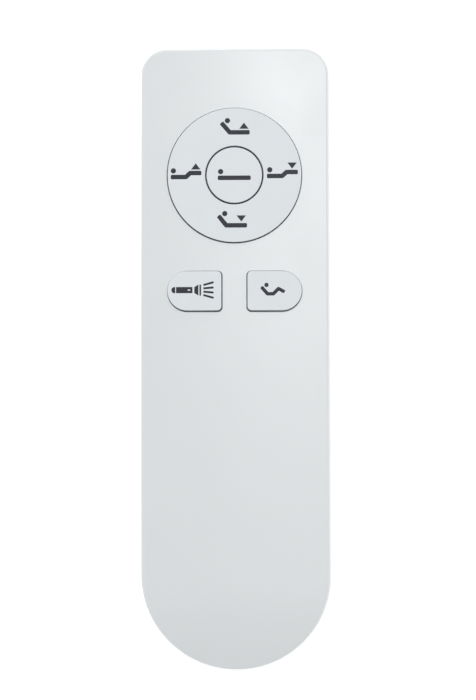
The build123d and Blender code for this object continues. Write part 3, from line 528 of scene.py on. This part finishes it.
def spring_curve(name, height, axis):
    """Conical coil of round wire, height tall, from its foot at the origin."""
    axis = Vector(axis)
    across = Vector((0, 0, 1))
    other = axis.cross(across)
    curve = bpy.data.curves.new(name, "CURVE")
    curve.dimensions = "3D"
    curve.bevel_depth = SPRING_WIRE
    curve.bevel_resolution = 5
    curve.use_fill_caps = True
    steps = int(SPRING_TURNS * SPRING_STEPS)
    spline = curve.splines.new("NURBS")
    spline.points.add(steps)
    for step in range(steps + 1):
        turns = SPRING_TURNS * step / steps
        rise = (turns - SPRING_FLAT) / (SPRING_TURNS - 2 * SPRING_FLAT)
        share = min(max(rise, 0.0), 1.0)
        radius = SPRING_FOOT + (SPRING_TIP - SPRING_FOOT) * share
        lift = SPRING_WIRE + (height - 2 * SPRING_WIRE) * share
        outward = across * cos(tau * turns) + other * sin(tau * turns)
        spline.points[step].co = (*(axis * lift + outward * radius), 1.0)
    spline.order_u = 4
    spline.use_endpoint_u = True
    return curve


def add_springs():
    """Three coils, each between a plate and the flat end of a cell."""
    lower_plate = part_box("negative_terminal")
    thickness = lower_plate[1].y - lower_plate[0].y
    lower_face = lower_plate[1].y
    upper_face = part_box("upper_bridge_contact")[1].y - thickness
    for node, plus in CELLS.items():
        low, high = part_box(node)
        middle = (low + high) / 2
        face, end = (lower_face, low.y) if plus > 0 else (upper_face, high.y)
        curve = spring_curve(node + "_spring", abs(end - face), (0, plus, 0))
        made = bpy.data.objects.new(node + "_spring", curve)
        bpy.context.scene.collection.objects.link(made)
        made.location = (middle.x, face, middle.z)
        curve.materials.append(PAINTS["contact_nickel"])
        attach(made, "root")
    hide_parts("battery_springs")


def add_led_inside():
    """Cup and phosphor inside the clear LED."""
    low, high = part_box("torch_led")
    middle = (low + high) / 2
    back = (middle.x, low.y + LED_BACK, middle.z)
    paint = Paint("led_phosphor", IOR=1.45)
    grain = paint.noise(0.12 * MM, 3.0)
    paint.set("Base Color", paint.mix(grain, (0.80, 0.62, 0.08), (0.90, 0.76, 0.18)))
    paint.set("Roughness", paint.span(grain, 0.3, 0.7, 0.5, 0.65))
    parts = (
        ("led_cup", LED_CUP, PAINTS["leg_tin"], "leg_tin"),
        ("led_phosphor", LED_DROP, paint.material, "led_epoxy"),
    )
    for name, points, material, slot in parts:
        profile = [(along * MM, radius * MM) for along, radius in points]
        piece(name, lathe(name, profile, back, (0, 1, 0), 48), material)


# ---------------------------------------------------------------- stage


def add_floor():
    """Plain pale floor under the control."""
    mesh = bmesh.new()
    bmesh.ops.create_circle(mesh, cap_ends=True, segments=96, radius=FLOOR_RADIUS)
    data = bpy.data.meshes.new("floor")
    mesh.to_mesh(data)
    mesh.free()
    floor = bpy.data.objects.new("floor", data)
    floor.location.z = -FLOOR_SINK
    paint = Paint("studio_floor", Roughness=0.9)
    paint.set("Specular IOR Level", 0.1)
    paint.set("Emission Color", (1.0, 1.0, 1.0))
    paint.set("Emission Strength", FLOOR_GLOW)
    haze = paint.noise(0.4, 2.0)
    paint.set("Base Color", paint.mix(haze, (0.955, 0.955, 0.955), (0.97, 0.97, 0.97)))
    data.materials.append(paint.material)
    bpy.context.scene.collection.objects.link(floor)


def add_tent():
    """White tent round the table: an even gradient, and a brighter band near the horizon."""
    world = bpy.data.worlds.new("tent")
    bpy.context.scene.world = world
    world.use_nodes = True
    tent = Nodes(world.node_tree)
    direction = tent.node("ShaderNodeTexCoord").outputs["Generated"]

    def slope(tilt, base):
        return tent.math("ADD", tent.dot(direction, (*tilt, 0.0)), base)

    height = tent.math("ABSOLUTE", tent.split(direction)["Z"])
    fade = tent.math("POWER", tent.math("SUBTRACT", 1.0, height), HORIZON_FALL)
    band = tent.math("MULTIPLY", fade, slope(HORIZON_TILT, HORIZON))
    background = world.node_tree.nodes["Background"]
    tent.feed(background.inputs["Strength"], tent.math("ADD", slope(TENT_TILT, TENT_UP), band))
    tent.feed(background.inputs["Color"], (1.0, 1.0, 1.0))


def add_softboxes():
    """Round softboxes high over the control, which show as broad highlights on its crown."""
    for name, (place, power) in SOFTBOXES.items():
        light = bpy.data.lights.new(name, "AREA")
        light.shape = "DISK"
        light.size = SOFTBOX_WIDTH
        light.energy = power
        lamp = bpy.data.objects.new(name, light)
        lamp.location = place
        lamp.rotation_euler = (-Vector(place)).to_track_quat("-Z", "Y").to_euler()
        bpy.context.scene.collection.objects.link(lamp)


def add_camera():
    """Camera that looks down at the control from far above it."""
    camera = bpy.data.cameras.new("camera")
    camera.lens = CAMERA_LENS
    camera.clip_start = CAMERA_NEAR
    holder = bpy.data.objects.new("camera", camera)
    turn = Euler((0.0, radians(CAMERA_LEAN), radians(CAMERA_ROLL)))
    holder.rotation_euler = turn
    holder.location = Vector(CAMERA_AIM) + turn.to_matrix() @ Vector((0.0, 0.0, CAMERA_DISTANCE))
    bpy.context.scene.collection.objects.link(holder)
    bpy.context.scene.camera = holder


add_camera()
add_floor()
add_tent()
add_softboxes()
bpy.context.scene.view_settings.view_transform = "Standard"
paint_nodes()
for cell, direction in CELLS.items():
    battery(cell, direction)
add_springs()
add_led_inside()
